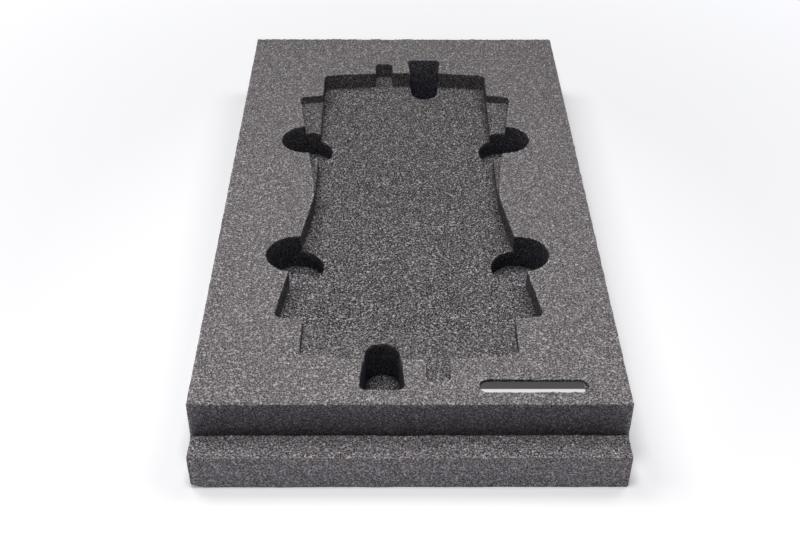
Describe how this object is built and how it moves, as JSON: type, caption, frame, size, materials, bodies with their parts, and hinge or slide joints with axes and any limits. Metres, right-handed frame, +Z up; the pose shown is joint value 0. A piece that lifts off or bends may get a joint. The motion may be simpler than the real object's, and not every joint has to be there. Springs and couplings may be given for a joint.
{
  "type": "foam case insert",
  "caption": "Rectangular milled foam insert with a front ledge and a two-level pocket that holds flared plates head to tail, with finger holes, end slots and a label plate.",
  "frame": {"origin": "middle of the base, on the surface that the insert lies on", "axes": "+X across the width, +Y along the length away from the front ledge, +Z up through the thickness"},
  "size_m": [0.204, 0.372, 0.04],
  "materials": {
    "foam": "open-cell polyurethane foam, matt, with fine pale speckle",
    "label": "satin plastic strip, dark with a white band"
  },
  "bodies": {
    "root": {"foam_block": "foam", "label_plate": "label"}
  },
  "joints": []
}
